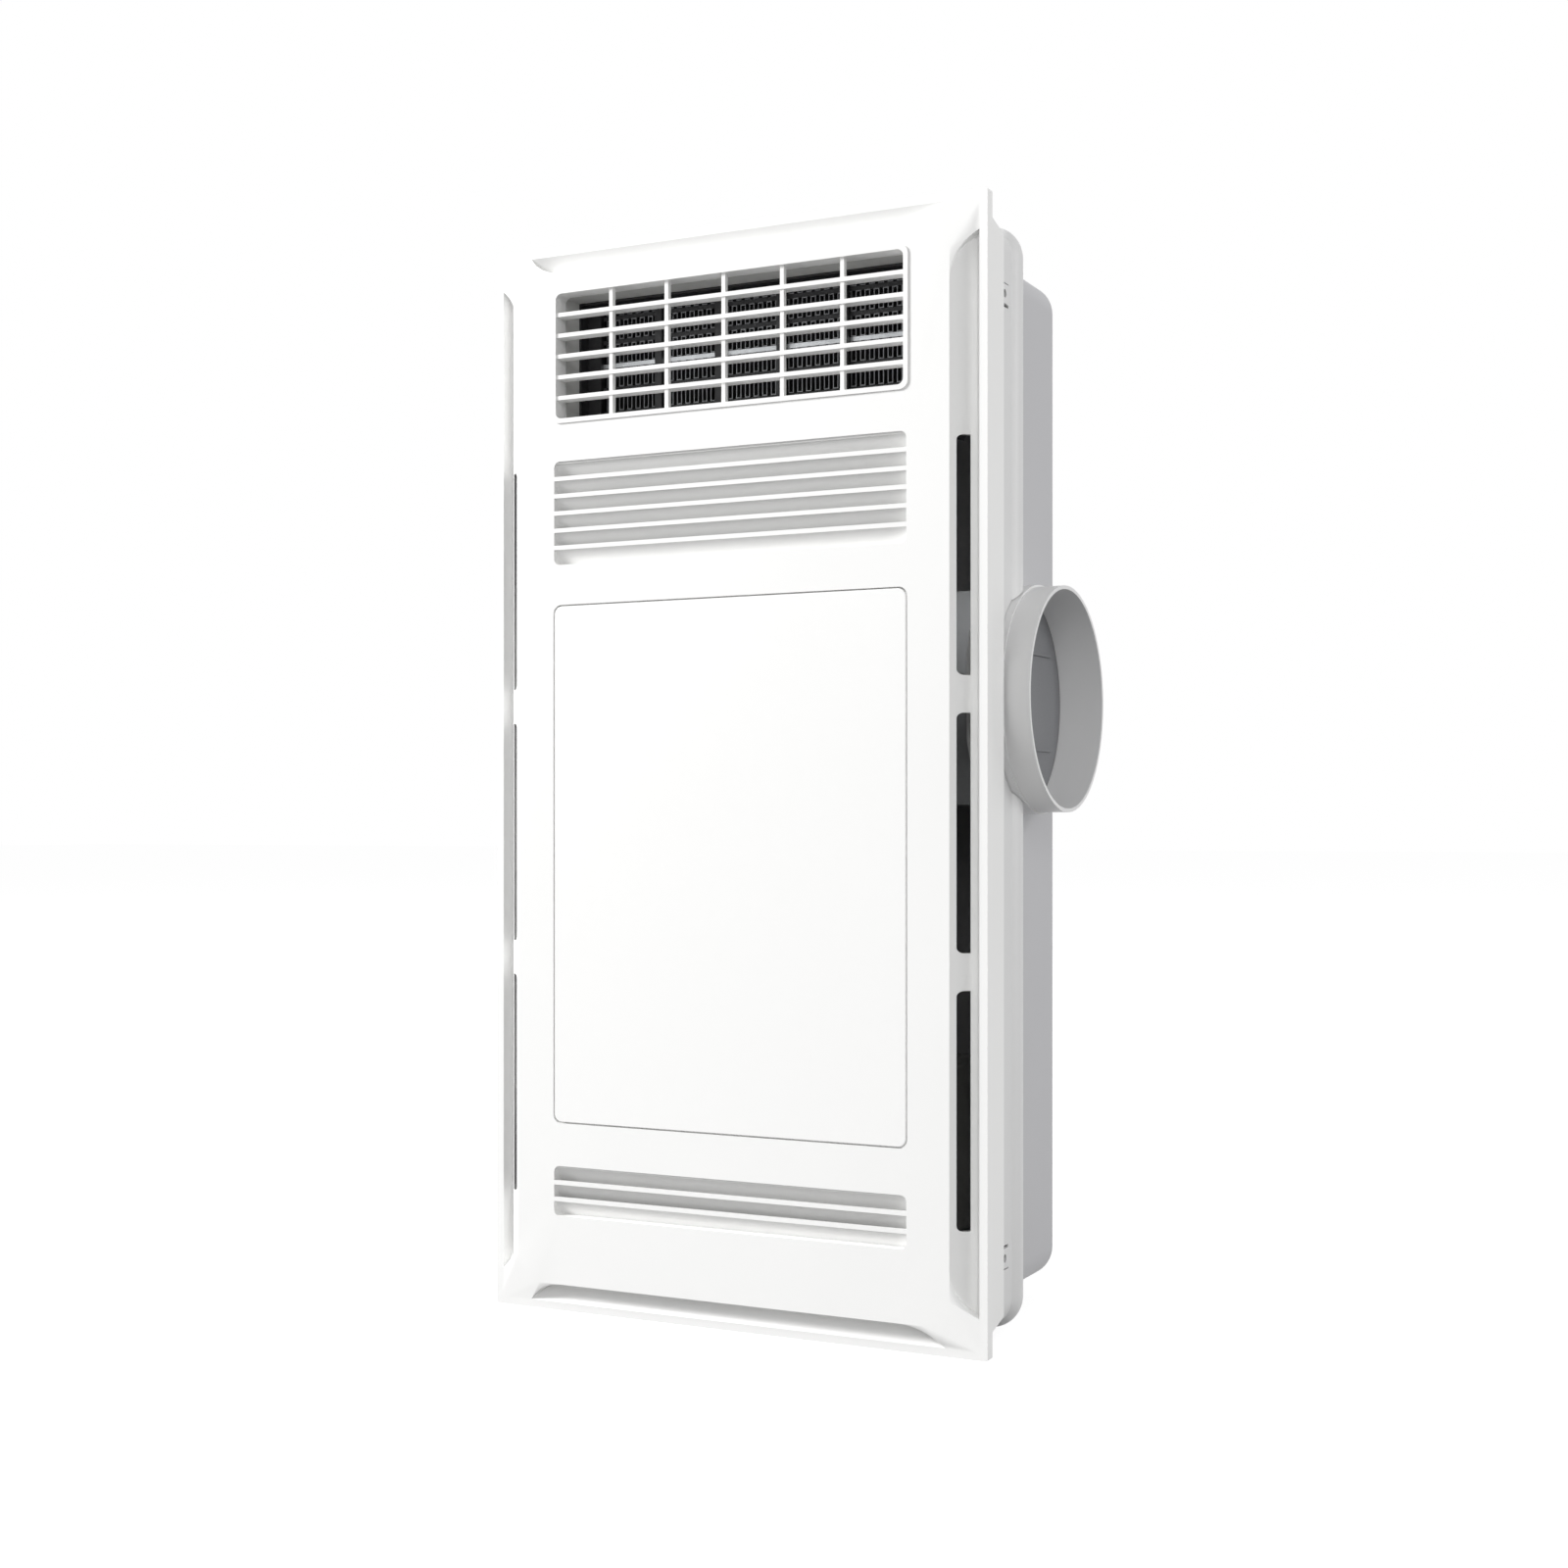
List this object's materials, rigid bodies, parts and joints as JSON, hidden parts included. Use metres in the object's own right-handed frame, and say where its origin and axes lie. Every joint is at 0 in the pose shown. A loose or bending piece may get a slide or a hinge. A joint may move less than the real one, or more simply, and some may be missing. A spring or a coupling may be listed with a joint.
{
  "type": "bathroom heater exhaust fan",
  "caption": "Ceiling-mounted bathroom unit with a louvred face panel, warm air outlet, light, heater, exhaust blower and a side duct collar.",
  "frame": {"origin": "centre of the ceiling opening, in the plane of the ceiling's lower face, on which the face panel's edge rests", "axes": "+X across the face towards the duct collar, +Y from the room into the ceiling, +Z along the face towards the warm air outlet"},
  "size_m": [0.311, 0.1668, 0.6],
  "materials": {
    "abs_white": "satin moulded ABS",
    "opal": "satin opal diffuser",
    "pan_white": "white powder coat",
    "board_white": "white solder resist on aluminium",
    "phosphor": "yellow phosphor",
    "driver_white": "fine matt",
    "zinc_screw": "zinc plated",
    "spring_steel": "bright spring steel",
    "tray_white": "satin moulded ABS",
    "housing_grey": "light grey coat",
    "collar_white": "satin moulded ABS",
    "damper_grey": "fine matt",
    "duct_grey": "flame retardant moulding",
    "heater_black": "matt glass filled moulding",
    "strip_alu": "extruded",
    "strip_dark": "extruded",
    "fin_alu": "rolled",
    "terminal_brass": "bright",
    "cutout_tan": "phenolic and steel",
    "fan_grey": "moulded",
    "motor_steel": "zinc plated can",
    "bush_rubber": "matt",
    "wheel_white": "moulded",
    "shaft_steel": "ground",
    "nut_brass": "turned",
    "box_white": "moulded",
    "board_green": "solder resist",
    "relay_blue": "moulded",
    "capacitor_grey": "sleeved can",
    "terminal_white": "moulded nylon",
    "gland_grey": "moulded nylon"
  },
  "bodies": {
    "root": {"chassis_tray": "tray_white", "rear_housing": "housing_grey", "housing_screws": "zinc_screw", "duct_collar": "collar_white", "collar_screws": "zinc_screw", "damper_pin": "shaft_steel", "heater_duct": "duct_grey", "heater_frame": "heater_black", "heater_strips": "strip_dark", "heater_bright_strip": "strip_alu", "heater_fins": "fin_alu", "heater_terminals": "terminal_brass", "thermal_cutout": "cutout_tan", "fan_casing": "fan_grey", "casing_screws": "zinc_screw", "warm_motor": "motor_steel", "warm_bearing": "bush_rubber", "blower_scroll": "fan_grey", "blower_cover": "fan_grey", "blower_motor": "motor_steel", "motor_screws": "zinc_screw", "control_box": "box_white", "control_lid": "box_white", "control_board": "board_green", "relays": "relay_blue", "capacitor": "capacitor_grey", "terminal_block": "terminal_white", "cable_gland": "gland_grey", "gland_nut": "gland_grey"},
    "panel": {"front_panel": "abs_white", "outlet_grille": "abs_white", "light_diffuser": "opal", "light_pan": "pan_white", "light_strips": "board_white", "light_chips": "phosphor", "light_driver": "driver_white", "pan_screws": "zinc_screw", "panel_clips": "spring_steel"},
    "warm_rotor": {"warm_wheel": "wheel_white", "warm_shaft": "shaft_steel"},
    "exhaust_rotor": {"blower_wheel": "wheel_white", "blower_shaft": "shaft_steel", "blower_nut": "nut_brass"},
    "leaf_front": {"damper_leaf_front": "damper_grey"},
    "leaf_rear": {"damper_leaf_rear": "damper_grey"}
  },
  "joints": [
    {"name": "panel_release", "type": "slide", "parent": "root", "child": "panel", "axis": [0, -1, 0], "range_m": [0, 0.06]},
    {"name": "warm_spin", "type": "hinge", "parent": "root", "child": "warm_rotor", "pos_m": [0, 0.078, 0.226], "axis": [1, 0, 0], "continuous": true},
    {"name": "exhaust_spin", "type": "hinge", "parent": "root", "child": "exhaust_rotor", "pos_m": [-0.026, 0.087, -0.018], "axis": [0, 1, 0], "continuous": true},
    {"name": "leaf_front_swing", "type": "hinge", "parent": "root", "child": "leaf_front", "pos_m": [0.135, 0.087, 0.043], "axis": [0, 0, 1], "range_deg": [0, 70]},
    {"name": "leaf_rear_swing", "type": "hinge", "parent": "root", "child": "leaf_rear", "pos_m": [0.135, 0.087, 0.043], "axis": [0, 0, -1], "range_deg": [0, 70]}
  ]
}
